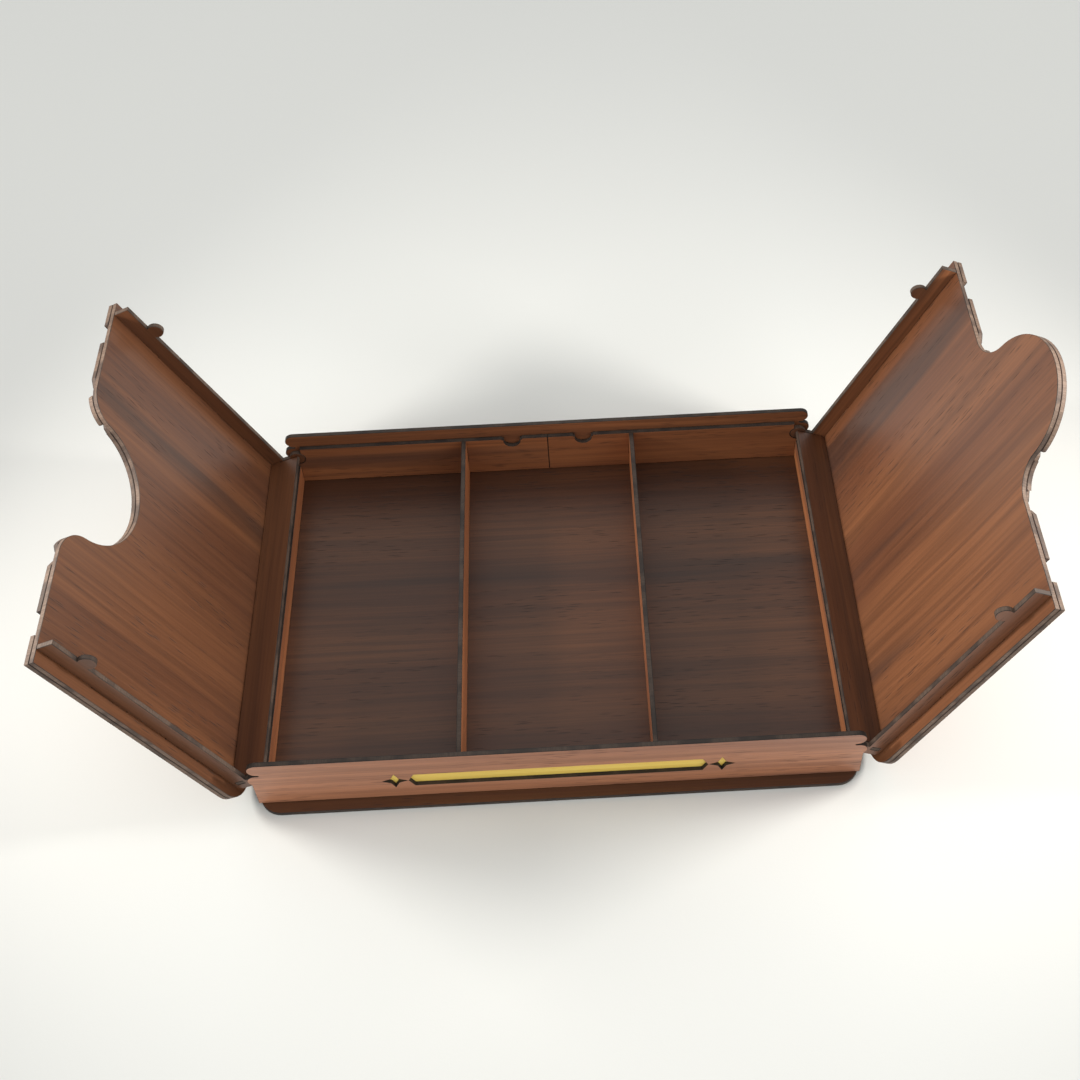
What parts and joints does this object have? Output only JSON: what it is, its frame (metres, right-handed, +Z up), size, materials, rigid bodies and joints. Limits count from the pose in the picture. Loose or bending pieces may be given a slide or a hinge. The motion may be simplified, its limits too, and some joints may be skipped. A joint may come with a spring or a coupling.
{
  "type": "wooden puzzle box",
  "caption": "Shallow compartment box of laser-cut walnut boards whose hinged lid leaves lock together along a tongue-and-socket seam.",
  "frame": {"origin": "middle of the base plate's underside", "axes": "+X along the tray towards the lid with the tongue, +Y from the inlaid front to the back, +Z up"},
  "size_m": [0.5651, 0.265, 0.2307],
  "materials": {
    "walnut_board": "satin walnut foil on thin fibreboard, laser-burnt edges",
    "gold_sheet": "satin gold sheet",
    "steel_pin": "plain drawn wire"
  },
  "bodies": {
    "tray": {"base_plate": "walnut_board", "front_outer_plate": "walnut_board", "back_outer_plate": "walnut_board", "front_inner_plate_left": "walnut_board", "front_inner_plate_right": "walnut_board", "back_inner_plate_left": "walnut_board", "back_inner_plate_right": "walnut_board", "left_end_wall": "walnut_board", "right_end_wall": "walnut_board", "left_divider": "walnut_board", "right_divider": "walnut_board", "front_gold_bar": "gold_sheet", "front_gold_star_left": "gold_sheet", "front_gold_star_right": "gold_sheet", "front_hinge_pin_left": "steel_pin", "front_hinge_pin_right": "steel_pin", "back_hinge_pin_left": "steel_pin", "back_hinge_pin_right": "steel_pin"},
    "left_lid": {"left_lid_panel": "walnut_board", "left_lid_overlay": "walnut_board", "left_lid_front_wall": "walnut_board", "left_lid_back_wall": "walnut_board", "left_lid_end_board": "walnut_board"},
    "right_lid": {"right_lid_panel": "walnut_board", "right_lid_overlay": "walnut_board", "right_lid_front_wall": "walnut_board", "right_lid_back_wall": "walnut_board", "right_lid_end_board": "walnut_board"}
  },
  "joints": [
    {"name": "left_lid_hinge", "type": "hinge", "parent": "tray", "child": "left_lid", "pos_m": [-0.176, 0, 0.0288], "axis": [0, 1, 0], "range_deg": [0, 114]},
    {"name": "right_lid_hinge", "type": "hinge", "parent": "tray", "child": "right_lid", "pos_m": [0.176, 0, 0.0288], "axis": [0, -1, 0], "range_deg": [0, 114]}
  ]
}
